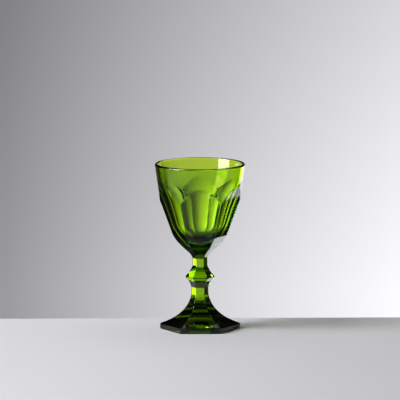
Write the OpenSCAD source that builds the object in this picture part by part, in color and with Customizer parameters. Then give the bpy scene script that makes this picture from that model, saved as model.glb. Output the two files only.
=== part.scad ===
// Panelled wine glass, moulded in three pieces of clear green acrylic and bonded together.
// The origin is the centre of the underside of the foot, on the axis of the glass. +Z is up.
// All sections below the arches are hexagons with a corner on the +X axis and a flat facing -Y.

/* [Foot] */
// Width of the hexagonal foot over two opposite corners
foot_w = 74.2; // [62:0.2:90]
// Height of the upright edge around the foot
foot_edge_h = 5; // [3.5:0.1:7]
// Height of the foot up to its joint with the stem
foot_h = 26; // [21:0.5:32]
// Width over corners of the joint between foot and stem
foot_joint_w = 20; // [17:0.2:24]
// Steepness of the foot's outline at the stem, measured from upright, in degrees
foot_top_angle = 24; // [15:1:30]
// Steepness of the foot's outline at its edge, measured from upright, in degrees
foot_edge_angle = 72; // [66:1:78]
// Width of the small slope between the foot's top and its upright edge
foot_edge_chamfer = 1.2; // [0.6:0.1:2]
// Diameter of the shallow dish in the underside of the foot
dish_d = 50; // [36:1:56]
// Depth of that dish at its centre
dish_depth = 1.5; // [0.8:0.1:2.5]

/* [Stem] */
// Height of the stem between its two joints
stem_h = 42.5; // [36:0.5:56]
// Width over corners of the narrow part under the bowl
upper_waist_w = 14; // [12:0.2:16.6]
// Width over corners of the narrow part above the foot
lower_waist_w = 15.8; // [13:0.2:18]
// Height of the flare above the level where its slope would meet the waist
flare_h = 3.3; // [2:0.1:4]
// Height of the ridge of the knop above the joint with the foot
knop_level = 22.8; // [20:0.2:25]
// Width over corners of the ridge of the knop
knop_w = 27; // [23:0.2:32]
// Height of the upright band on the ridge of the knop
knop_band_h = 0.8; // [0.4:0.1:2]
// Width over corners of the two shoulders of the knop
shoulder_w = 20.6; // [18:0.2:22]
// Distance of each shoulder above or below the ridge
shoulder_step = 4; // [3:0.1:5]
// Height of the slope from each shoulder to its waist
shoulder_slope_h = 5.8; // [4.5:0.1:7]

/* [Bowl] */
// Height of the bowl from its joint with the stem to the rim
bowl_h = 86.3; // [78:0.1:100]
// Outer diameter of the rim
rim_d = 84; // [72:0.5:98]
// Thickness of the wall at the rim
rim_wall = 3; // [2.4:0.1:3.6]
// Lean of the round wall outwards from upright, in degrees
round_lean = 8.2; // [6:0.1:10]
// Distance from the rim down to the points between the arches
cusp_drop = 35.4; // [30:0.2:40]
// Lean of the corner edges below the arches from upright, in degrees
corner_lean = 19.9; // [17:0.1:22]
// Lean of the arched ends of the panels from upright, in degrees
arch_lean = 28.2; // [26:0.1:31]
// Height over which the panels curve into their arched ends
arch_blend_h = 14; // [8:1:20]
// Height above the joint where the straight corner edges end
belly_h = 21.5; // [18:0.5:25]
// Steepness of the bowl's outline above the joint, measured from upright, in degrees
neck_angle = 50; // [44:1:56]
// Height above the joint where the bowl's outline is steepest
neck_curve_h = 3.9; // [3:0.1:5]
// Width over corners of the joint between bowl and stem
neck_joint_w = 16.2; // [15:0.2:18]
// Thickness of the wall at the tops of the arches
arch_wall = 3.6; // [2.8:0.1:4.6]
// Thickness of the wall behind the middle of a panel, level with the points between the arches
panel_wall = 2.6; // [2:0.1:3.4]
// Length of the curves inside, at the tops and at the feet of the arches
inside_blend = 5; // [2:0.5:6]
// Height of the hollow's floor above the joint
floor_h = 14; // [11:0.5:18]

/* [Joints] */
// Thickness of the clear adhesive in both joints
bond_t = 0.1; // [0.05:0.01:0.2]
// Diameter of the peg under the bowl
bowl_peg_d = 6; // [5:0.1:8]
// Diameter of the peg under the stem
stem_peg_d = 8; // [6:0.1:11]
// Length of both pegs
peg_l = 3; // [2:0.1:5]

/* [Hidden] */
sides = 6;
curve_steps = 10;
round_faces = 96;
lip_steps = 8;
over = 1;

// Levels of the joints and of the rim.
stem_z = foot_h + bond_t;
stem_top_z = stem_z + stem_h;
bowl_z = stem_top_z + bond_t;
rim_z = bowl_z + bowl_h;

// Point at fraction t of a curve that leaves a towards b and arrives at c from b.
function curve_point(a, b, c, t) =
    (1 - t) * (1 - t) * a + 2 * t * (1 - t) * b + t * t * c;

// Points of that curve from a to c, both ends included.
function curve(a, b, c, steps = curve_steps) =
    [for (i = [0 : steps]) curve_point(a, b, c, i / steps)];

// Point where a line up from a meets a line down from c, with their angles from upright.
function meet(a, a_angle, c, c_angle) =
    let (
        rise = (c[0] - a[0] - (c[1] - a[1]) * tan(c_angle)) / (tan(a_angle) - tan(c_angle))
    )
    [a[0] + rise * tan(a_angle), a[1] + rise];

// The points of a list without its first one.
function after_first(list) = [for (i = [1 : len(list) - 1]) list[i]];

// Point at distance d from a towards b, or half way where b is nearer.
function towards(a, b, d) = a + (b - a) * min(d / norm(b - a), 1 / 2);

// Short curve that rounds off the corner b between a and c.
function rounded(a, b, c, d) =
    curve(towards(b, a, d), b, towards(b, c, d), curve_steps / 2);

// Corner k of a hexagon with corner radius r at height z.
function hex_corner(r, z, k) =
    [r * cos(360 * k / sides), r * sin(360 * k / sides), z];

// Solid with flat sides through hexagons, for an outline of [corner radius, height] from the
// bottom up. Each side between two hexagons is flat because all of them point the same way.
module hex_solid(outline) {
    rings = len(outline);
    points = [for (p = outline) for (k = [0 : sides - 1]) hex_corner(p[0], p[1], k)];
    bottom = [[for (k = [0 : sides - 1]) k]];
    top = [[for (k = [sides - 1 : -1 : 0]) (rings - 1) * sides + k]];
    walls = [
        for (i = [0 : rings - 2])
        for (k = [0 : sides - 1])
        let (next = (k + 1) % sides)
        [i * sides + k, (i + 1) * sides + k, (i + 1) * sides + next, i * sides + next]
    ];
    polyhedron(points = points, faces = concat(bottom, top, walls));
}

// Round solid under a curved outline of [radius, height] from the bottom up.
module round_solid(outline) {
    last = len(outline) - 1;
    rotate_extrude($fn = round_faces)
        polygon(concat([[0, outline[0][1]]], outline, [[0, outline[last][1]]]));
}

// Peg with its top at height z.
module peg(d, l, z) {
    translate([0, 0, z - l])
        cylinder(d = d, h = l + over, $fn = round_faces);
}

// Socket for such a peg, with room for the adhesive around and under it.
module socket(d, l, z) {
    translate([0, 0, z - l])
        cylinder(d = d + 2 * bond_t, h = l + over, $fn = round_faces);
}

// Film of adhesive that fills a joint: a hexagonal sheet with its underside at height z,
// and a cup that reaches down around a peg.
module bond(joint_w, peg_d, z) {
    difference() {
        union() {
            translate([0, 0, z])
                cylinder(d = joint_w, h = bond_t, $fn = sides);
            translate([0, 0, z - peg_l])
                cylinder(d = peg_d + 2 * bond_t, h = peg_l + bond_t / 2, $fn = round_faces);
        }
        translate([0, 0, z + bond_t - peg_l])
            cylinder(d = peg_d, h = peg_l + over, $fn = round_faces);
    }
}

// Outline of the foot: an upright edge, a small slope, and a hollow curve up to the joint.
edge_r = foot_w / 2;
slope_end = [edge_r - foot_edge_chamfer, foot_edge_h + foot_edge_chamfer / 2];
foot_end = [foot_joint_w / 2, foot_h];
foot_bend = meet(slope_end, -foot_edge_angle, foot_end, -foot_top_angle);
foot_outline = concat(
    [[edge_r, 0], [edge_r, foot_edge_h]],
    curve(slope_end, foot_bend, foot_end)
);

// Radius of the ball that cuts the dish in the underside.
dish_r = (pow(dish_d / 2, 2) + pow(dish_depth, 2)) / (2 * dish_depth);

module foot() {
    color("yellowgreen")
        difference() {
            hex_solid(foot_outline);
            socket(stem_peg_d, peg_l, foot_h);
            translate([0, 0, dish_depth - dish_r])
                sphere(r = dish_r, $fn = round_faces);
        }
}

module foot_bond() {
    color("lightyellow")
        bond(foot_joint_w, stem_peg_d, foot_h);
}

// Outline of the stem from its joint with the foot up to its joint with the bowl.
lower_r = lower_waist_w / 2;
upper_r = upper_waist_w / 2;
shoulder_r = shoulder_w / 2;
knop_r = knop_w / 2;
knop_z = stem_z + knop_level;
flare_start = [foot_joint_w / 2, stem_z];
flare_bend = [lower_r, stem_z + (flare_start[0] - lower_r) / tan(foot_top_angle)];
flare_end = [lower_r, flare_bend[1] + flare_h];
knop_outline = [
    [lower_r, knop_z - shoulder_step - shoulder_slope_h],
    [shoulder_r, knop_z - shoulder_step],
    [knop_r, knop_z - knop_band_h / 2],
    [knop_r, knop_z + knop_band_h / 2],
    [shoulder_r, knop_z + shoulder_step],
    [upper_r, knop_z + shoulder_step + shoulder_slope_h]
];
// The outline crosses the upper joint at this angle from upright, half way round the neck.
joint_angle = neck_angle * 2 / 3;
neck_start = [neck_joint_w / 2, stem_top_z];
neck_bend = [upper_r, stem_top_z - (neck_start[0] - upper_r) / tan(joint_angle)];
neck_end = [upper_r, neck_bend[1] - (neck_start[0] - upper_r)];
stem_outline = concat(
    curve(flare_start, flare_bend, flare_end),
    knop_outline,
    curve(neck_end, neck_bend, neck_start)
);

module stem() {
    color("greenyellow")
        difference() {
            union() {
                hex_solid(stem_outline);
                peg(stem_peg_d, peg_l, stem_z);
            }
            socket(bowl_peg_d, peg_l, stem_top_z);
        }
}

module bowl_bond() {
    color("lightyellow")
        bond(neck_joint_w, bowl_peg_d, stem_top_z);
}

// Outline of the hexagonal panels, from the joint up past their arched ends.
rim_r = rim_d / 2;
cusp_z = rim_z - cusp_drop;
cusp_r = rim_r - cusp_drop * tan(round_lean);
belly_end = [cusp_r - (cusp_z - bowl_z - belly_h) * tan(corner_lean), bowl_z + belly_h];
bowl_start = [neck_joint_w / 2, bowl_z];
neck_turn = [
    bowl_start[0] + neck_curve_h * (tan(joint_angle) + tan(neck_angle)) / 2,
    bowl_z + neck_curve_h
];
neck_turn_bend = meet(bowl_start, joint_angle, neck_turn, neck_angle);
belly_bend = meet(neck_turn, neck_angle, belly_end, corner_lean);
blend_start_z = cusp_z - arch_blend_h / 2;
blend_start = [cusp_r - (cusp_z - blend_start_z) * tan(corner_lean), blend_start_z];
blend_end_z = cusp_z + arch_blend_h / 2;
blend_end = [cusp_r + (blend_end_z - cusp_z) * tan(arch_lean), blend_end_z];
panel_top = [blend_end[0] + (rim_z - blend_end_z) * tan(arch_lean), rim_z];
panel_outline = concat(
    curve(bowl_start, neck_turn_bend, neck_turn, curve_steps / 2),
    after_first(curve(neck_turn, belly_bend, belly_end)),
    curve(blend_start, [cusp_r, cusp_z], blend_end, curve_steps / 2),
    [panel_top]
);

// Outline of the round wall above the panels, with a rounded lip.
lip_r = rim_wall / 2;
lip_outline = [
    for (i = [0 : lip_steps])
    let (turn = 90 * i / lip_steps)
    [rim_r - lip_r + lip_r * cos(turn), rim_z - lip_r + lip_r * sin(turn)]
];
wall_foot_z = bowl_z - over;
round_outline = concat(
    [[rim_r - (rim_z - lip_r - wall_foot_z) * tan(round_lean), wall_foot_z]],
    lip_outline
);

// Height of the arches: from the points between them, the middle of a panel and the round wall
// come together at the difference of their slopes.
flat_share = cos(180 / sides);
arch_h = (cusp_r * (1 - flat_share) + lip_r * tan(round_lean))
    / (flat_share * tan(arch_lean) - tan(round_lean));

// Hollow of the bowl. Its wall passes behind the tops of the arches and behind the panels, follows
// the middle of the panels down, and runs tangent into a ball-shaped floor.
lip_point = [rim_r - rim_wall, rim_z - lip_r];
arch_point = [cusp_r + (lip_r + arch_h) * tan(round_lean) - arch_wall, cusp_z + arch_h];
panel_point = [cusp_r * flat_share - panel_wall, cusp_z];
panel_lean = atan(flat_share * tan(corner_lean));
floor_z = bowl_z + floor_h;
floor_r = (panel_point[0] - (cusp_z - floor_z) * tan(panel_lean)) * cos(panel_lean)
    / (1 - sin(panel_lean));
floor_outline = [
    for (i = [0 : curve_steps])
    let (turn = (90 - panel_lean) * i / curve_steps)
    [floor_r * sin(turn), floor_z + floor_r * (1 - cos(turn))]
];
inner_lip_outline = [
    for (i = [lip_steps : -1 : 0])
    let (turn = 90 * i / lip_steps)
    [lip_point[0] + lip_r * (1 - sin(turn)), rim_z - lip_r * (1 - cos(turn))]
];
hollow_outline = concat(
    floor_outline,
    rounded(floor_outline[curve_steps], panel_point, arch_point, inside_blend),
    rounded(panel_point, arch_point, lip_point, inside_blend),
    inner_lip_outline,
    [[rim_r, rim_z + over]]
);

module bowl() {
    color("yellowgreen")
        difference() {
            union() {
                intersection() {
                    hex_solid(panel_outline);
                    round_solid(round_outline);
                }
                peg(bowl_peg_d, peg_l, bowl_z);
            }
            round_solid(hollow_outline);
        }
}

foot();
foot_bond();
stem();
bowl_bond();
bowl();
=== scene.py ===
"""Panelled wine glass in clear green acrylic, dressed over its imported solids.

The bowl, stem and foot are closed skins, worked out with numpy on grids of turn and height. The two
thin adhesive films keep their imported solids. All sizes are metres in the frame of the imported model.
"""

import bpy
import numpy as np
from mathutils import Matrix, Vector


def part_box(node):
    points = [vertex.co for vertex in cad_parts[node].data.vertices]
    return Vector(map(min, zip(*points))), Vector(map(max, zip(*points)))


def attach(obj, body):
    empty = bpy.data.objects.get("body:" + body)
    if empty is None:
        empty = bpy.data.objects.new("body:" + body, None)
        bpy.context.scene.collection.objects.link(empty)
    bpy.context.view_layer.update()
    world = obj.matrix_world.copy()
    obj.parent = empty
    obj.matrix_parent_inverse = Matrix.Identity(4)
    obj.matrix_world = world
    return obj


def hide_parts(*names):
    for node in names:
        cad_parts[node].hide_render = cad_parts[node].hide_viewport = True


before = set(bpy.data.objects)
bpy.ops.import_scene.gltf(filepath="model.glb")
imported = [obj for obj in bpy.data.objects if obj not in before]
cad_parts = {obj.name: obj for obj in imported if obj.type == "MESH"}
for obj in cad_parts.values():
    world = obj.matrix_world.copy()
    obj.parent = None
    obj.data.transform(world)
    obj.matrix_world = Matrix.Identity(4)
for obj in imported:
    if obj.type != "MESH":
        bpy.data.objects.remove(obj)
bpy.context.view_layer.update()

MM = 0.001
SIDES = 6
SECTOR = 2 * np.pi / SIDES
HALF_SIDE = np.tan(SECTOR / 2)
CORNER_TO_FLAT = np.cos(SECTOR / 2)

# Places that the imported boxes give.
FOOT_R = float(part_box("foot")[1][0])
FOOT_TOP_Z = float(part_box("foot")[1][2])
STEM_TOP_Z = float(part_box("stem")[1][2])
RIM_Z = float(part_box("bowl")[1][2])

# Sizes of the glass, the same as those of its solids, apart from a rim that is 0.015 mm smaller in
# radius and keeps the skin inside their box.
BOND = 0.1 * MM
PEG_LENGTH = 3 * MM
FOOT_EDGE_H = 5 * MM
FOOT_JOINT_R = 10 * MM
FOOT_CHAMFER = 1.2 * MM
FOOT_TOP_ANGLE = np.radians(24)
FOOT_EDGE_ANGLE = np.radians(72)
DISH_R = 25 * MM
DISH_DEPTH = 1.5 * MM
STEM_PEG_R = 4 * MM
STEM_Z = FOOT_TOP_Z + BOND
UPPER_WAIST_R = 7 * MM
LOWER_WAIST_R = 7.9 * MM
FLARE_H = 3.3 * MM
KNOP_Z = STEM_Z + 22.8 * MM
KNOP_R = 13.5 * MM
KNOP_BAND_H = 0.8 * MM
SHOULDER_R = 10.3 * MM
SHOULDER_STEP = 4 * MM
SHOULDER_SLOPE_H = 5.8 * MM
BOWL_PEG_R = 3 * MM
BOWL_Z = STEM_TOP_Z + BOND
NECK_JOINT_R = 8.1 * MM
NECK_ANGLE = np.radians(50)
NECK_JOINT_ANGLE = NECK_ANGLE * 2 / 3
NECK_CURVE_H = 3.9 * MM
RIM_R = 41.985 * MM
RIM_WALL = 3.0 * MM
ARCH_WALL = 3.6 * MM
PANEL_WALL = 2.6 * MM
LIP_R = RIM_WALL / 2
CUSP_Z = RIM_Z - 35.4 * MM
ROUND_LEAN = np.radians(8.2)
CORNER_LEAN = np.radians(19.9)
ARCH_LEAN = np.radians(28.2)
ARCH_BLEND_H = 14 * MM
BELLY_Z = BOWL_Z + 21.5 * MM
FLOOR_Z = BOWL_Z + 14 * MM
INSIDE_BLEND = 5 * MM

# How far the moulding rounds the upright corners, the crease around the arches, and the other edges.
CORNER_SOFT = 0.55 * MM
BOWL_CORNER_SOFT = 1.1 * MM
CREASE_SOFT = 0.36 * MM
EDGE_SOFT = 0.5 * MM

# How far a bonded face stays back from its solid's, and the turn between two columns' normals over
# which a face counts as a rounded corner.
GAP = 0.02 * MM
CORNER_TURN = np.radians(2.5)

# Columns of the skins in each sixth of a turn: across the flat side, and around the corner.
FLAT_COLUMNS = 30
CORNER_COLUMNS = 6
SECTOR_COLUMNS = FLAT_COLUMNS + CORNER_COLUMNS
COLUMNS = SIDES * SECTOR_COLUMNS

# Steps along the curves and faces of the skins, rows over the dish and across the crease, and the
# longest step of a straight stretch.
SOFT_STEPS = 6
FACE_STEPS = 4
DISH_ROWS = 24
BASE_STEPS = 10
FOOT_CURVE_STEPS = 60
FOOT_CURVE_START = 3
FLARE_STEPS = 16
NECK_STEPS = 12
BOWL_NECK_STEPS = 40
BELLY_STEPS = 80
ARCH_STEPS = 40
PANEL_STEPS = 79
CREASE_ROWS = 11
WALL_STEPS = 23
LIP_STEPS = 24
INSIDE_STEPS = 10
FLOOR_STEPS = 40
ROW_STEP = 1 * MM
INSIDE_ROW_STEP = 1.5 * MM

# The first ring of the dish and the last of the bowl's floor lie this close to the axis: a share of
# the dish's radius, and a turn in radians about the middle of the floor's ball.
DISH_START = 0.05
FLOOR_END = 0.02

# A peg's end and a socket's floor start at this share of their radius.
PEG_START = 1 / 4

# How many heights the crease is looked for at, and how far under the points between the arches they
# start.
CREASE_HEIGHTS = 1200
CREASE_DROP = 10 * MM

# Keeps a division by a length from failing where two points meet.
TINY = 1e-12


def column_frame():
    """For each column, the direction U that a hexagon of unit apothem puts it in, its outward normal
    V, and the turn that an even spacing around the axis gives it.

    Across a flat side with normal n and tangent t, U = n + s * tan(30) * t for s from -1 to 1 and
    V = n. Around the corner that follows, U stays at s = 1 and V turns evenly by a sixth of a turn.
    """
    index = np.arange(COLUMNS)
    side = index // SECTOR_COLUMNS
    step = index % SECTOR_COLUMNS
    facing = SECTOR * (side + 0.5)
    across = np.clip(2 * step / FLAT_COLUMNS - 1, -1, 1)
    swing = SECTOR * np.clip(step - FLAT_COLUMNS, 0, None) / CORNER_COLUMNS
    normal = np.stack([np.cos(facing), np.sin(facing)], axis=1)
    tangent = np.stack([-np.sin(facing), np.cos(facing)], axis=1)
    u = normal + (across * HALF_SIDE)[:, None] * tangent
    v = np.cos(swing)[:, None] * normal + np.sin(swing)[:, None] * tangent
    even = SECTOR / 2 + SECTOR * (index - FLAT_COLUMNS / 2) / SECTOR_COLUMNS
    return u, v, even


COLUMN_U, COLUMN_V, EVEN_TURN = column_frame()


def hexagon(apothem, soft):
    """Hexagons with rounded corners: (apothem - soft) * U + soft * V, for an array of apothems that
    has a row for each hexagon, or a row for each row of points and a column for each column."""
    apothem = apothem.reshape(len(apothem), -1, 1)
    soft = np.minimum(soft, apothem / 2)
    return (apothem - soft) * COLUMN_U + soft * COLUMN_V


def hexagon_turn(ring):
    """Turn of each point of a hexagon about the axis, taken next to its even turn."""
    turn = np.arctan2(ring[..., 1], ring[..., 0])
    return EVEN_TURN + (turn - EVEN_TURN + np.pi) % (2 * np.pi) - np.pi


def bend(start, corner, stop, steps):
    """Points on the curve (1-t)^2 start + 2t(1-t) corner + t^2 stop, for t even from 0 to 1."""
    t = np.linspace(0, 1, steps + 1)[:, None]
    return (1 - t) ** 2 * np.array(start) + 2 * t * (1 - t) * np.array(corner) + t**2 * np.array(stop)


def meeting(start, start_angle, stop, stop_angle):
    """Where a line up from start meets a line through stop, for angles measured from upright."""
    run = stop[0] - start[0] - (stop[1] - start[1]) * np.tan(stop_angle)
    rise = run / (np.tan(start_angle) - np.tan(stop_angle))
    return (start[0] + rise * np.tan(start_angle), start[1] + rise)


def arc(centre, radius, start, stop, steps):
    """Points centre + radius * (cos, sin) of angles that run evenly from start to stop."""
    turn = np.linspace(start, stop, steps + 1)
    return np.array(centre) + radius * np.stack([np.cos(turn), np.sin(turn)], axis=1)


def softened(outline, radius, steps=SOFT_STEPS):
    """The outline with each inner corner replaced by a curve that starts and ends radius from it,
    or a third of the way to the next corner where that is nearer."""
    points = [outline[:1]]
    for before, here, after in zip(outline[:-2], outline[1:-1], outline[2:]):
        back, ahead = before - here, after - here
        back_length, ahead_length = np.linalg.norm(back), np.linalg.norm(ahead)
        start = here + back * min(radius / back_length, 1 / 3)
        stop = here + ahead * min(radius / ahead_length, 1 / 3)
        points.append(bend(start, here, stop, steps))
    points.append(outline[-1:])
    return np.concatenate(points)


def divided(outline, longest):
    """The outline with every stretch over the given length cut into equal shorter ones."""
    pieces = []
    for start, stop in zip(outline[:-1], outline[1:]):
        count = max(1, int(np.ceil(np.linalg.norm(stop - start) / longest)))
        t = np.linspace(0, 1, count, endpoint=False)[:, None]
        pieces.append(start + (stop - start) * t)
    pieces.append(outline[-1:])
    return np.concatenate(pieces)


def raised(rings, heights):
    """The flat rings as points in space, each ring at its own height."""
    height = np.broadcast_to(heights[:, None, None], rings.shape[:2] + (1,))
    return np.concatenate([rings, height], axis=2)


def hexagonal_rows(outline, soft):
    """Rows of a skin for an outline of [corner radius, height]: a soft-cornered hexagon at each."""
    return raised(hexagon(outline[:, 0] * CORNER_TO_FLAT, soft), outline[:, 1])


def round_rows(outline):
    """Rows of a skin for an outline of [radius, height]: a circle with even columns at each."""
    circle = np.stack([np.cos(EVEN_TURN), np.sin(EVEN_TURN)], axis=1)
    return raised(outline[:, 0, None, None] * circle, outline[:, 1])


def spread_rows(inner, outer, steps):
    """Rows that pass evenly from one ring of points to another."""
    t = np.linspace(0, 1, steps + 1)[:, None, None]
    return inner + (outer - inner) * t


def slope(points, axis):
    """Tangents along one direction of a grid: at an inner point the directions of its two steps, each
    weighted by the other's length, and at an end twice its step's direction less the next tangent."""
    points = np.moveaxis(points, axis, 0)
    ahead = np.diff(points, axis=0)
    length = np.maximum(np.linalg.norm(ahead, axis=2, keepdims=True), TINY)
    rate = ahead / length
    inner = (rate[:-1] * length[1:] + rate[1:] * length[:-1]) / (length[:-1] + length[1:])
    first = 2 * rate[:1] - inner[:1] if len(inner) else rate[:1]
    last = 2 * rate[-1:] - inner[-1:] if len(inner) else rate[-1:]
    return np.moveaxis(np.concatenate([first, inner, last]), 0, axis)


def patch_normals(rows):
    """Unit normals of a closed band of rows, from the cross product of its two tangents."""
    wrapped = np.concatenate([rows[:, -2:], rows, rows[:, :2]], axis=1)
    around = slope(wrapped, 1)[:, 2:-2]
    along = slope(rows, 0)
    normal = np.cross(around, along)
    return normal / np.maximum(np.linalg.norm(normal, axis=2, keepdims=True), TINY)


def mark_faces(mesh, name, values):
    """Stores one number for each face, for the material to read."""
    mark = mesh.attributes.new(name, "FLOAT", "FACE")
    mark.data.foreach_set("value", values.astype(np.float32))


def skin(name, patches):
    """Closed skin through bands of rows that share their end rings, from one pole to the other.

    patches is a list of (rows, hidden): rows run from the pole under the piece's outside, over the
    outside and back to the inner pole. Faces between rows are quads and the poles are fans. A
    hidden band is a bonded face, and the face attribute bonded tells the material. The attribute
    corner marks the faces across which the normal turns by more than CORNER_TURN.
    """
    points, first_row = [], 0
    quads, normals, bonded, corners = [], [], [], []
    column = np.arange(COLUMNS)
    after = (column + 1) % COLUMNS
    for number, (rows, hidden) in enumerate(patches):
        kept = rows if number == 0 else rows[1:]
        points.append(kept.reshape(-1, 3))
        count = len(rows)
        row = first_row + np.arange(count - 1)[:, None]
        low, high = row * COLUMNS, (row + 1) * COLUMNS
        quad = np.stack([low + column, low + after, high + after, high + column], axis=2).reshape(-1, 4)
        patch = patch_normals(rows)
        turned = (patch * np.roll(patch, -1, axis=1)).sum(axis=2)[:-1] < np.cos(CORNER_TURN)
        quads.append(quad)
        normals.append(patch.reshape(-1, 3)[quad - first_row * COLUMNS])
        bonded.append(np.full(len(quad), float(hidden)))
        corners.append(turned.ravel().astype(float))
        first_row += count - 1
    points = np.concatenate(points)
    quads, normals = np.concatenate(quads), np.concatenate(normals)
    poles = np.array([[0, 0, points[0, 2]], [0, 0, points[-1, 2]]])
    low_pole, high_pole = len(points), len(points) + 1
    last = first_row * COLUMNS
    low_fan = np.stack([np.full(COLUMNS, low_pole), after, column], axis=1)
    high_fan = np.stack([np.full(COLUMNS, high_pole), last + column, last + after], axis=1)
    mesh = bpy.data.meshes.new(name)
    faces = quads.tolist() + low_fan.tolist() + high_fan.tolist()
    mesh.from_pydata(np.concatenate([points, poles]), [], faces)
    low_normal = np.cross(points[after[0]] - poles[0], points[column[0]] - poles[0])
    high_normal = np.cross(points[last] - poles[1], points[last + 1] - poles[1])
    fans = [np.broadcast_to(n / np.linalg.norm(n), (COLUMNS * 3, 3)) for n in (low_normal, high_normal)]
    mesh.polygons.foreach_set("use_smooth", np.ones(len(faces), dtype=bool))
    mesh.normals_split_custom_set(np.concatenate([normals.reshape(-1, 3), *fans]))
    fan_ends = np.repeat([float(patches[0][1]), float(patches[-1][1])], COLUMNS)
    mark_faces(mesh, "bonded", np.concatenate([*bonded, fan_ends]))
    mark_faces(mesh, "corner", np.concatenate([*corners, np.zeros(2 * COLUMNS)]))
    mesh.validate()
    piece = bpy.data.objects.new(name, mesh)
    bpy.context.collection.objects.link(piece)
    return piece


def peg_rows(radius, length, face_z, face_ring):
    """Rows from the middle of a peg's end, up its side and out over the bonded face around it."""
    end = round_rows(np.array([[radius * PEG_START, face_z - length], [radius, face_z - length]]))
    side = round_rows(np.array([[radius, face_z - length], [radius, face_z]]))
    face = spread_rows(side[-1], face_ring, FACE_STEPS)
    return [(end, True), (side, True), (face, True)]


def socket_rows(radius, depth, face_z, face_ring):
    """Rows from the bonded face's outline in to a socket, down its side and over its floor."""
    side = round_rows(np.array([[radius, face_z], [radius, face_z - depth]]))
    face = spread_rows(face_ring, side[0], FACE_STEPS)
    floor = round_rows(np.array([[radius, face_z - depth], [radius * PEG_START, face_z - depth]]))
    return [(face, True), (side, True), (floor, True)]


def foot_piece():
    """Hexagonal foot: dish and flat underneath, upright edge, hollow curve up to the stem."""
    joint_z = FOOT_TOP_Z - GAP
    slope_end = (FOOT_R - FOOT_CHAMFER, FOOT_EDGE_H + FOOT_CHAMFER / 2)
    joint = (FOOT_JOINT_R, joint_z)
    turn = meeting(slope_end, -FOOT_EDGE_ANGLE, joint, -FOOT_TOP_ANGLE)
    rise = bend(slope_end, turn, joint, FOOT_CURVE_STEPS)
    edge = np.array([
        [FOOT_R - EDGE_SOFT * 2, 0],
        [FOOT_R, 0],
        [FOOT_R, FOOT_EDGE_H],
        slope_end,
        rise[FOOT_CURVE_START],
    ])
    outline = np.concatenate([divided(softened(edge, EDGE_SOFT), ROW_STEP), rise[FOOT_CURVE_START + 1:]])
    outside = hexagonal_rows(outline, CORNER_SOFT)
    dish_ball = (DISH_R**2 + DISH_DEPTH**2) / (2 * DISH_DEPTH)
    radii = np.linspace(DISH_START, 1, DISH_ROWS) * DISH_R
    dish_z = DISH_DEPTH - dish_ball + np.sqrt(dish_ball**2 - radii**2)
    dish = round_rows(np.stack([radii, dish_z], axis=1))
    base = spread_rows(dish[-1], outside[0], BASE_STEPS)
    hidden = socket_rows(STEM_PEG_R + BOND + GAP, PEG_LENGTH + GAP, joint_z, outside[-1])
    return skin("foot_skin", [(dish, False), (base, False), (outside, False), *hidden])


def stem_piece():
    """Hexagonal stem: flare, waist, knop with two shoulders and a band, narrow waist, neck."""
    low_z, high_z = STEM_Z + GAP, STEM_TOP_Z - GAP
    flare_bend = (LOWER_WAIST_R, STEM_Z + (FOOT_JOINT_R - LOWER_WAIST_R) / np.tan(FOOT_TOP_ANGLE))
    flare_end = (LOWER_WAIST_R, flare_bend[1] + FLARE_H)
    flare = bend((FOOT_JOINT_R, low_z), flare_bend, flare_end, FLARE_STEPS)
    neck_bend_z = STEM_TOP_Z - (NECK_JOINT_R - UPPER_WAIST_R) / np.tan(NECK_JOINT_ANGLE)
    neck_end = (UPPER_WAIST_R, neck_bend_z - (NECK_JOINT_R - UPPER_WAIST_R))
    neck = bend(neck_end, (UPPER_WAIST_R, neck_bend_z), (NECK_JOINT_R, high_z), NECK_STEPS)
    knop = np.array([
        flare[-1],
        [LOWER_WAIST_R, KNOP_Z - SHOULDER_STEP - SHOULDER_SLOPE_H],
        [SHOULDER_R, KNOP_Z - SHOULDER_STEP],
        [KNOP_R, KNOP_Z - KNOP_BAND_H / 2],
        [KNOP_R, KNOP_Z + KNOP_BAND_H / 2],
        [SHOULDER_R, KNOP_Z + SHOULDER_STEP],
        [UPPER_WAIST_R, KNOP_Z + SHOULDER_STEP + SHOULDER_SLOPE_H],
        neck[0],
    ])
    knop = divided(softened(knop, EDGE_SOFT), ROW_STEP)
    outline = np.concatenate([flare[:-1], knop, neck[1:]])
    outside = hexagonal_rows(outline, CORNER_SOFT)
    below = peg_rows(STEM_PEG_R - GAP, PEG_LENGTH - GAP, low_z, outside[0])
    above = socket_rows(BOWL_PEG_R + BOND + GAP, PEG_LENGTH + GAP, high_z, outside[-1])
    return skin("stem_skin", [*below, (outside, False), *above])


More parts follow.
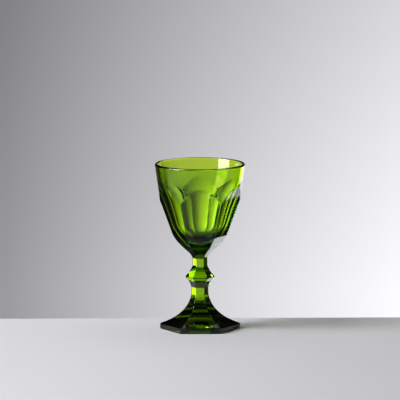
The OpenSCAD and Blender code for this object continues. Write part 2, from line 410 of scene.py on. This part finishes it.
def panel_outline():
    """[corner radius, height] of the six panels, from the joint up to the level of the rim."""
    cusp_r = RIM_R - (RIM_Z - CUSP_Z) * np.tan(ROUND_LEAN)
    belly_end = (cusp_r - (CUSP_Z - BELLY_Z) * np.tan(CORNER_LEAN), BELLY_Z)
    start = (NECK_JOINT_R, BOWL_Z)
    turn_r = start[0] + NECK_CURVE_H * (np.tan(NECK_JOINT_ANGLE) + np.tan(NECK_ANGLE)) / 2
    neck_turn = (turn_r, BOWL_Z + NECK_CURVE_H)
    neck_corner = meeting(start, NECK_JOINT_ANGLE, neck_turn, NECK_ANGLE)
    belly_corner = meeting(neck_turn, NECK_ANGLE, belly_end, CORNER_LEAN)
    blend_low = CUSP_Z - ARCH_BLEND_H / 2
    blend_high = CUSP_Z + ARCH_BLEND_H / 2
    blend_start = (cusp_r - (CUSP_Z - blend_low) * np.tan(CORNER_LEAN), blend_low)
    blend_end = (cusp_r + (blend_high - CUSP_Z) * np.tan(ARCH_LEAN), blend_high)
    top = (blend_end[0] + (RIM_Z - blend_high) * np.tan(ARCH_LEAN), RIM_Z)
    return np.concatenate([
        bend(start, neck_corner, neck_turn, BOWL_NECK_STEPS),
        bend(neck_turn, belly_corner, belly_end, BELLY_STEPS)[1:],
        bend(blend_start, (cusp_r, CUSP_Z), blend_end, ARCH_STEPS),
        [top],
    ])


def wall_radius(z):
    """Radius of the round wall at a height: a straight lean down from the lip."""
    return RIM_R - (RIM_Z - LIP_R - z) * np.tan(ROUND_LEAN)


def soft_least(a, b, reach):
    """The smaller of a and b, rounded off by a parabola where they differ by less than reach."""
    near = np.clip(reach - np.abs(a - b), 0, None) / reach
    return np.minimum(a, b) - near**2 * reach / 4


def bowl_outside():
    """Outside of the bowl: panels below a scalloped crease, and the round wall above it.

    In each column the crease is at the height where the panel's distance from the axis passes the
    round wall's. Rows run up the panel to just under the crease, closely across it, where the two
    surfaces blend, and on up the wall while the columns drift to an even spacing.
    """
    profile = panel_outline()
    heights = np.linspace(CUSP_Z - CREASE_DROP, RIM_Z, CREASE_HEIGHTS)
    apothem = np.interp(heights, profile[:, 1], profile[:, 0]) * CORNER_TO_FLAT
    rings = hexagon(apothem, BOWL_CORNER_SOFT)
    excess = np.linalg.norm(rings, axis=2) - wall_radius(heights)[:, None]
    above = np.argmax(excess > 0, axis=0)
    column = np.arange(COLUMNS)
    low, high = excess[above - 1, column], excess[above, column]
    crease = heights[above - 1] + (heights[above] - heights[above - 1]) * low / (low - high)
    steepness = (high - low) / (heights[above] - heights[above - 1])
    reach = CREASE_SOFT / steepness

    top_z = RIM_Z - LIP_R - LIP_R * np.sin(ROUND_LEAN)
    below = np.linspace(0, 1, PANEL_STEPS + 1)[:-1, None]
    across = np.linspace(-1, 1, CREASE_ROWS)[:, None]
    beyond = np.linspace(0, 1, WALL_STEPS + 1)[1:, None]
    start = BOWL_Z + GAP
    panel_z = start + (crease - reach - start) * below
    crease_z = crease + reach * across
    wall_z = (crease + reach) * (1 - beyond) + top_z * beyond

    z = np.concatenate([panel_z, crease_z])
    apothem = np.interp(z, profile[:, 1], profile[:, 0]) * CORNER_TO_FLAT
    ring = hexagon(apothem, BOWL_CORNER_SOFT)
    reach_out = np.linalg.norm(ring, axis=2)
    radius = soft_least(reach_out, wall_radius(z), CREASE_SOFT)
    turn = hexagon_turn(ring)
    drift = beyond**2 * (3 - 2 * beyond)
    wall_turn = turn[-1] * (1 - drift) + EVEN_TURN * drift
    z = np.concatenate([z, wall_z])
    turn = np.concatenate([turn, wall_turn])
    radius = np.concatenate([radius, wall_radius(wall_z)])
    return np.stack([radius * np.cos(turn), radius * np.sin(turn), z], axis=2)


def cavity_outline():
    """[radius, height] of the lip, half of a circle, and of the inside: a wall that follows the round
    wall down to the arches and the panels below them, and a floor that is part of a ball."""
    cusp_r = RIM_R - (RIM_Z - CUSP_Z) * np.tan(ROUND_LEAN)
    rise = cusp_r * (1 - CORNER_TO_FLAT) + LIP_R * np.tan(ROUND_LEAN)
    arch_z = CUSP_Z + rise / (CORNER_TO_FLAT * np.tan(ARCH_LEAN) - np.tan(ROUND_LEAN))
    arch = (wall_radius(arch_z) - ARCH_WALL, arch_z)
    panel = (cusp_r * CORNER_TO_FLAT - PANEL_WALL, CUSP_Z)
    lean = np.arctan(CORNER_TO_FLAT * np.tan(CORNER_LEAN))
    floor_r = panel[0] - (CUSP_Z - FLOOR_Z) * np.tan(lean)
    ball = floor_r * np.cos(lean) / (1 - np.sin(lean))
    floor = arc((0, FLOOR_Z + ball), ball, -lean, FLOOR_END - np.pi / 2, FLOOR_STEPS)
    lip = arc((RIM_R - LIP_R, RIM_Z - LIP_R), LIP_R, -ROUND_LEAN, np.pi - ROUND_LEAN, LIP_STEPS)
    corners = np.array([lip[-1], arch, panel, floor[0]])
    wall = divided(softened(corners, INSIDE_BLEND, INSIDE_STEPS), INSIDE_ROW_STEP)
    return lip, np.concatenate([wall[:-1], floor])


def bowl_piece():
    """The bowl: a peg and bonded face underneath, the outside, the lip and the inside."""
    outside = bowl_outside()
    lip, inside = cavity_outline()
    lip_rows = round_rows(lip)
    lip_rows[0] = outside[-1]
    below = peg_rows(BOWL_PEG_R - GAP, PEG_LENGTH - GAP, BOWL_Z + GAP, outside[0])
    shell = np.concatenate([outside, lip_rows[1:], round_rows(inside)[1:]])
    return skin("bowl_skin", [*below, (shell, False)])


class Wire:
    """A node's output in an expression: each operator adds the Math node that works it out."""

    def __init__(self, tree, output=None):
        self.tree = tree
        self.output = output

    def node(self, kind, settings=None, out=0, **values):
        """Adds a node of a type to the tree, with its settings set before its inputs.

        An input is named by its label in lower case with underscores, or by in_ and its number, and
        takes a Wire or a plain value. The result is the output of that number or label, or a list of
        them for a tuple.
        """
        node = self.tree.nodes.new(kind)
        for key, value in (settings or {}).items():
            setattr(node, key, value)
        for key, value in values.items():
            slot = find_input(node, key)
            if isinstance(value, Wire):
                self.tree.links.new(value.output, slot)
            else:
                slot.default_value = value
        if isinstance(out, tuple):
            return [Wire(self.tree, node.outputs[name]) for name in out]
        live = [output for output in node.outputs if output.enabled]
        if isinstance(out, str):
            live = [output for output in live if output.name == out]
            out = 0
        return Wire(self.tree, live[out]) if live else None

    def math(self, operation, first, second=0.0):
        return self.node("ShaderNodeMath", {"operation": operation}, in_0=first, in_1=second)

    def __add__(self, other):
        return self.math("ADD", self, other)

    def __radd__(self, other):
        return self.math("ADD", other, self)

    def __sub__(self, other):
        return self.math("SUBTRACT", self, other)

    def __rsub__(self, other):
        return self.math("SUBTRACT", other, self)

    def __mul__(self, other):
        return self.math("MULTIPLY", self, other)

    def __rmul__(self, other):
        return self.math("MULTIPLY", other, self)

    def __truediv__(self, other):
        return self.math("DIVIDE", self, other)

    def __rtruediv__(self, other):
        return self.math("DIVIDE", other, self)


def find_input(node, key):
    """The input that a lower-case name with underscores, or in_ and a number, stands for."""
    if key.startswith("in_"):
        return node.inputs[int(key[3:])]
    for slot in node.inputs:
        if slot.enabled and slot.name.lower().replace(" ", "_") == key:
            return slot
    raise KeyError(key)


def blank(owner):
    """A material's or world's empty node tree, as a Wire to add nodes from."""
    owner.use_nodes = True
    owner.node_tree.nodes.clear()
    return Wire(owner.node_tree)


def smooth_step(sheet, value, low, high):
    """Rises smoothly from 0 to 1 as the value goes from low to high."""
    settings = {"interpolation_type": "SMOOTHSTEP"}
    return sheet.node("ShaderNodeMapRange", settings, value=value, from_min=low, from_max=high)


def band(sheet, value, reach, soft):
    """1 for values inside the reach, a pair, and 0 elsewhere, with soft edges."""
    low, high = reach
    entered = smooth_step(sheet, value, low - soft, low + soft)
    left = smooth_step(sheet, value, high - soft, high + soft)
    return entered * (1 - left)


def mixed(sheet, share, first, second):
    """Colour that goes from the first to the second as the share goes from 0 to 1."""
    colours = {"a": (*first, 1.0), "b": (*second, 1.0)}
    return sheet.node("ShaderNodeMix", {"data_type": "RGBA"}, factor=share, **colours)


# The acrylic. Scales of noise are in cells a metre. Each piece has a tint that light takes at its
# surface, and a depth colour and density for what it takes on its way through.
ACRYLIC_IOR = 1.49
ACRYLIC_SPECULAR = 0.4
BOWL_TINT = (0.80, 0.94, 0.3)
BOWL_DEPTH_COLOUR = (0.89, 0.926, 0.6)
BOWL_DENSITY = 1000
STEM_TINT = (0.56, 0.78, 0.14)
STEM_DEPTH_COLOUR = (0.948, 0.97, 0.75)
STEM_DENSITY = 1000
FOOT_TINT = (0.72, 0.88, 0.12)
FOOT_DEPTH_COLOUR = (0.935, 0.95, 0.7)
FOOT_DENSITY = 800
FLOW_SCALE = 55.0
FLOW_STRETCH = 0.3
FLOW_WARP = 0.6
FLOW_SHARE = 0.05
RIPPLE_SCALE = 240.0
RIPPLE_DEPTH = 0.004 * MM
HAZE_SCALE = 900.0
SMOOTHNESS = 0.004
HAZE = 0.012
WIPE_SCALE = 32.0
WIPE_RANGE = (0.52, 0.75)
WIPE_HAZE = 0.02
CORNER_RUB = 0.10
BASE_RUB = 0.35
BASE_RUB_H = 0.25 * MM
SCRATCH_SCALE = 2400.0

# The adhesive.
ADHESIVE_TINT = (0.55, 0.75, 0.2)
SPECK_SCALE = 1500.0
SPECK_ALPHA = 0.02
SPECK_ROUGHNESS = 0.2
ADHESIVE_ROUGHNESS = 0.2

# The table's paint, with painted shade: it is painted darker over a stretch to the right and a stretch
# to the back, in metres from the middle of the glass, for the light of the soft box falling off there.
TABLE_WHITE = (0.995, 0.995, 1.0)
TABLE_SHADE = 0.685
PAINTED_SHADE_RIGHT_SPAN = (-0.35, 0.35)
PAINTED_SHADE_RIGHT_FALL = 0.32
PAINTED_SHADE_BACK_SPAN = (-0.5, 0.4)
PAINTED_SHADE_BACK_FALL = 0.1
CLOUD_SCALE = 9.0
CLOUD_SHARE = 0.02
GRAIN_SCALE = 700.0
GRAIN_SHARE = 0.01
GRAIN_DEPTH = 0.01 * MM
GRAIN_STRENGTH = 0.2
GRAIN_ROUGHNESS = 0.1
TABLE_ROUGHNESS = 0.65
TABLE_SPECULAR = 0.08


def acrylic(name, tint, depth_colour, density):
    """Clear tinted acrylic: light is tinted where it passes the surface and by its depth.

    Long faint flow marks vary the tint, a shallow ripple bends the reflections, and a fine haze, wiped
    patches, rubbed corners and a scratched resting face vary the gloss.
    """
    material = bpy.data.materials.new(name)
    sheet = blank(material)
    place = sheet.node("ShaderNodeTexCoord", out="Object")
    height = sheet.node("ShaderNodeSeparateXYZ", out="Z", vector=place)
    bonded = sheet.node("ShaderNodeAttribute", {"attribute_name": "bonded"}, out="Fac")
    corner = sheet.node("ShaderNodeAttribute", {"attribute_name": "corner"}, out="Fac")
    along = sheet.node("ShaderNodeMapping", vector=place, scale=(1.0, 1.0, FLOW_STRETCH))
    flow = sheet.node(
        "ShaderNodeTexNoise", vector=along, scale=FLOW_SCALE, detail=3.0, distortion=FLOW_WARP
    )
    pale = tuple(min(1.0, level * (1 + FLOW_SHARE)) for level in tint)
    deep = tuple(level * (1 - FLOW_SHARE) for level in tint)
    colour = mixed(sheet, flow, deep, pale)
    haze = sheet.node("ShaderNodeTexNoise", vector=place, scale=HAZE_SCALE, detail=4.0)
    wiped = sheet.node("ShaderNodeTexNoise", vector=place, scale=WIPE_SCALE, detail=2.0)
    scratches = sheet.node("ShaderNodeTexNoise", vector=place, scale=SCRATCH_SCALE, detail=2.0)
    resting = 1 - smooth_step(sheet, height, 0.0, BASE_RUB_H)
    wipe = smooth_step(sheet, wiped, *WIPE_RANGE)
    rub = corner * CORNER_RUB + resting * BASE_RUB
    ripple = sheet.node("ShaderNodeTexNoise", vector=place, scale=RIPPLE_SCALE, detail=1.0)
    facing = sheet.node("ShaderNodeBump", strength=1.0, distance=RIPPLE_DEPTH, height=ripple)
    body = sheet.node(
        "ShaderNodeBsdfPrincipled",
        base_color=colour,
        roughness=haze * HAZE + wipe * WIPE_HAZE + scratches * rub + SMOOTHNESS,
        ior=ACRYLIC_IOR,
        transmission_weight=1.0,
        specular_ior_level=ACRYLIC_SPECULAR,
        alpha=1 - bonded,
        normal=facing,
    )
    depth = sheet.node("ShaderNodeVolumeAbsorption", color=(*depth_colour, 1.0), density=density)
    sheet.node("ShaderNodeOutputMaterial", surface=body, volume=depth)
    return material


def adhesive():
    """Clear cured adhesive, all but unseen between the bonded faces, with fine specks in it."""
    material = bpy.data.materials.new("cured_adhesive")
    sheet = blank(material)
    place = sheet.node("ShaderNodeTexCoord", out="Object")
    specks = sheet.node("ShaderNodeTexNoise", vector=place, scale=SPECK_SCALE, detail=2.0)
    body = sheet.node(
        "ShaderNodeBsdfPrincipled",
        base_color=(*ADHESIVE_TINT, 1.0),
        roughness=specks * SPECK_ROUGHNESS + ADHESIVE_ROUGHNESS,
        ior=ACRYLIC_IOR,
        alpha=specks * SPECK_ALPHA,
    )
    sheet.node("ShaderNodeOutputMaterial", surface=body)
    return material


def table_paint_with_painted_shade():
    """Pale matt table paint with painted shade: darker to the right and a little to the back, for the
    soft box's light falling off, with faint clouds and a fine grain."""
    material = bpy.data.materials.new("pale_table")
    sheet = blank(material)
    place = sheet.node("ShaderNodeTexCoord", out="Object")
    x, y = sheet.node("ShaderNodeSeparateXYZ", out=("X", "Y"), vector=place)
    grain = sheet.node("ShaderNodeTexNoise", vector=place, scale=GRAIN_SCALE, detail=4.0)
    clouds = sheet.node("ShaderNodeTexNoise", vector=place, scale=CLOUD_SCALE, detail=2.0)
    # Painted shade: the soft box's light falling off to the right and to the back of the table.
    right = smooth_step(sheet, x, *PAINTED_SHADE_RIGHT_SPAN) * PAINTED_SHADE_RIGHT_FALL
    back = smooth_step(sheet, y, *PAINTED_SHADE_BACK_SPAN) * PAINTED_SHADE_BACK_FALL
    shade = (1 - right) * (1 - back) * TABLE_SHADE
    shade = shade + (clouds - 0.5) * CLOUD_SHARE + (grain - 0.5) * GRAIN_SHARE
    colour = mixed(sheet, shade, (0.0, 0.0, 0.0), TABLE_WHITE)
    facing = sheet.node("ShaderNodeBump", strength=GRAIN_STRENGTH, distance=GRAIN_DEPTH, height=grain)
    body = sheet.node(
        "ShaderNodeBsdfPrincipled",
        base_color=colour,
        roughness=grain * GRAIN_ROUGHNESS + TABLE_ROUGHNESS,
        specular_ior_level=TABLE_SPECULAR,
        normal=facing,
    )
    sheet.node("ShaderNodeOutputMaterial", surface=body)
    return material


def dress(piece, material):
    """Gives a piece its one material."""
    piece.data.materials.clear()
    piece.data.materials.append(material)


def stand_in(piece, node):
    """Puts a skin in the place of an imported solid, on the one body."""
    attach(piece, "root")
    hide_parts(node)


# The camera: its distance and direction from what it aims at, and the width it takes in there.
CAMERA_DISTANCE = 5.0
CAMERA_RISE = np.radians(8.3)
CAMERA_SWING = np.radians(-1.2)
VIEW_WIDTH = 0.3708
AIM = Vector((0.0, 0.0, 0.1206))
SENSOR = 36.0
CLIP_END = 100.0


def camera():
    """A long lens that looks a little down on the glass and faces a flat side of its foot.

    Its direction from the aim is (sin s cos r, -cos s cos r, sin r) for the swing s and the rise r.
    """
    data = bpy.data.cameras.new("camera")
    data.sensor_width = SENSOR
    data.lens = CAMERA_DISTANCE * SENSOR / VIEW_WIDTH
    data.clip_end = CLIP_END
    eye = bpy.data.objects.new("camera", data)
    bpy.context.collection.objects.link(eye)
    away = Vector((
        np.sin(CAMERA_SWING) * np.cos(CAMERA_RISE),
        -np.cos(CAMERA_SWING) * np.cos(CAMERA_RISE),
        np.sin(CAMERA_RISE),
    ))
    eye.location = AIM + away * CAMERA_DISTANCE
    eye.rotation_euler = (-away).to_track_quat("-Z", "Y").to_euler()
    bpy.context.scene.camera = eye


# The table top, and how far behind the middle of the glass its back edge is.
TABLE_REACH = 1.6
TABLE_THICKNESS = 0.03
TABLE_BACK = 0.0575


def table():
    """Pale table top, a flat box whose back edge is a little behind the glass."""
    corners = np.array([
        [x, y, z]
        for z in (-TABLE_THICKNESS, 0.0)
        for y in (-TABLE_REACH, TABLE_BACK)
        for x in (-TABLE_REACH, TABLE_REACH)
    ])
    faces = [(0, 2, 3, 1), (4, 5, 7, 6), (0, 1, 5, 4), (2, 6, 7, 3), (0, 4, 6, 2), (1, 3, 7, 5)]
    mesh = bpy.data.meshes.new("table_top")
    mesh.from_pydata(corners, [], faces)
    top = bpy.data.objects.new("table_top", mesh)
    bpy.context.collection.objects.link(top)
    top.data.materials.append(table_paint_with_painted_shade())


# The studio. Turns are to the right from straight behind the glass and rises are up from level, in
# degrees. A lit panel behind the glass brightens to the right as far as its edge. A soft box stands at
# the left, towards the front, and an overhead light hangs above and behind the glass.
STUDIO_WHITE = (0.97, 0.965, 1.0)
PANEL_START = -28
PANEL_EDGE = 41
PANEL_EDGE_SOFT = 3.5
PANEL_POWER = 2.9
PANEL_CURVE = 1.7
PANEL_FOOT = (-52, -24)
PANEL_HEAD = (-14, 12)
PANEL_FOOT_GLOW = 0.1
SIDE_GLOW = 0.03
SOFT_BOX_TURN = (-126.5, -90)
SOFT_BOX_RISE = (-28, 56)
SOFT_BOX_SOFT = 1.5
SOFT_BOX_POWER = 10.5
OVERHEAD_TURN = (-100, 100)
OVERHEAD_RISE = (50, 100)
OVERHEAD_SOFT = 9
OVERHEAD_POWER = 1.2
LOW_SKY_TURN = (-12, 6)
LOW_SKY_RISE = (4, 24)
LOW_SKY_SOFT = 3.5
LOW_SKY_POWER = 0.07
FILL = 0.015

# The paper behind the glass as it is looked at: a straight ramp from dim to bright across the view,
# which fades to an even level further round, and darkens upwards.
PAPER_DIM = 0.285
PAPER_BRIGHT = 0.77
PAPER_RAMP = (-0.9, 3.3)
PAPER_EVEN = 0.5
PAPER_FADE = (5, 40)
PAPER_LEVEL = -8.3
PAPER_FALL = 0.105
PAPER_LIMITS = (0.5, 1.1)
DEGREE = np.pi / 180


def studio():
    """Studio as a world: what the glass bends and mirrors, and the paper for what is seen directly.

    The panel's brightness is its power times (the share of the way to its edge) to the power of its
    curve, plus a glow, and fades at its foot and head. The soft box, the overhead light and the low
    sky are each a band of turns times a band of rises. The paper's is a straight ramp over turns, or
    its even level further round, times a straight fall over rises between two limits.
    """
    world = bpy.data.worlds.new("studio")
    bpy.context.scene.world = world
    sheet = blank(world)
    way = sheet.node("ShaderNodeTexCoord", out="Generated")
    x, y, z = sheet.node("ShaderNodeSeparateXYZ", out=("X", "Y", "Z"), vector=way)
    turn = sheet.math("ARCTAN2", x, y) / DEGREE
    rise = sheet.math("ARCSINE", z) / DEGREE

    share = sheet.node("ShaderNodeMapRange", value=turn, from_min=PANEL_START, from_max=PANEL_EDGE)
    edge = 1 - smooth_step(sheet, turn, PANEL_EDGE, PANEL_EDGE + PANEL_EDGE_SOFT)
    panel = sheet.math("POWER", share, PANEL_CURVE) * edge * PANEL_POWER + SIDE_GLOW
    foot_end = smooth_step(sheet, rise, *PANEL_FOOT) * (1 - PANEL_FOOT_GLOW) + PANEL_FOOT_GLOW
    panel = panel * foot_end * (1 - smooth_step(sheet, rise, *PANEL_HEAD))

    soft_box = band(sheet, turn, SOFT_BOX_TURN, SOFT_BOX_SOFT)
    soft_box = soft_box * band(sheet, rise, SOFT_BOX_RISE, SOFT_BOX_SOFT) * SOFT_BOX_POWER
    overhead = band(sheet, turn, OVERHEAD_TURN, OVERHEAD_SOFT)
    overhead = overhead * band(sheet, rise, OVERHEAD_RISE, OVERHEAD_SOFT) * OVERHEAD_POWER
    low_sky = band(sheet, turn, LOW_SKY_TURN, LOW_SKY_SOFT)
    low_sky = low_sky * band(sheet, rise, LOW_SKY_RISE, LOW_SKY_SOFT) * LOW_SKY_POWER
    around = panel + soft_box + overhead + low_sky + FILL

    low, high = PAPER_RAMP
    levels = {"to_min": PAPER_DIM, "to_max": PAPER_BRIGHT}
    ramp = sheet.node("ShaderNodeMapRange", value=turn, from_min=low, from_max=high, **levels)
    far = smooth_step(sheet, sheet.math("ABSOLUTE", turn), *PAPER_FADE)
    fall = 1 - (rise - PAPER_LEVEL) * PAPER_FALL
    least, most = PAPER_LIMITS
    fall = sheet.math("MINIMUM", sheet.math("MAXIMUM", fall, least), most)
    paper = (ramp * (1 - far) + PAPER_EVEN * far) * fall

    seen = sheet.node("ShaderNodeLightPath", out="Is Camera Ray")
    light = around * (1 - seen) + paper * seen
    shine = sheet.node("ShaderNodeBackground", color=(*STUDIO_WHITE, 1.0), strength=light)
    sheet.node("ShaderNodeOutputWorld", surface=shine)


# Light passes many clear surfaces on its way through the glass.
LIGHT_BOUNCES = 32
CLEAR_BOUNCES = 96

scene = bpy.context.scene
scene.view_settings.view_transform = "Standard"
scene.view_settings.look = "Medium High Contrast"
scene.cycles.denoising_input_passes = "RGB"
scene.cycles.max_bounces = LIGHT_BOUNCES
scene.cycles.transmission_bounces = LIGHT_BOUNCES
scene.cycles.transparent_max_bounces = CLEAR_BOUNCES

camera()
table()
studio()

bowl = bowl_piece()
stem = stem_piece()
foot = foot_piece()
dress(bowl, acrylic("bowl_acrylic", BOWL_TINT, BOWL_DEPTH_COLOUR, BOWL_DENSITY))
dress(stem, acrylic("stem_acrylic", STEM_TINT, STEM_DEPTH_COLOUR, STEM_DENSITY))
dress(foot, acrylic("foot_acrylic", FOOT_TINT, FOOT_DEPTH_COLOUR, FOOT_DENSITY))
stand_in(bowl, "bowl")
stand_in(stem, "stem")
stand_in(foot, "foot")
film = adhesive()
for film_node in ("bowl_bond", "foot_bond"):
    dress(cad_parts[film_node], film)
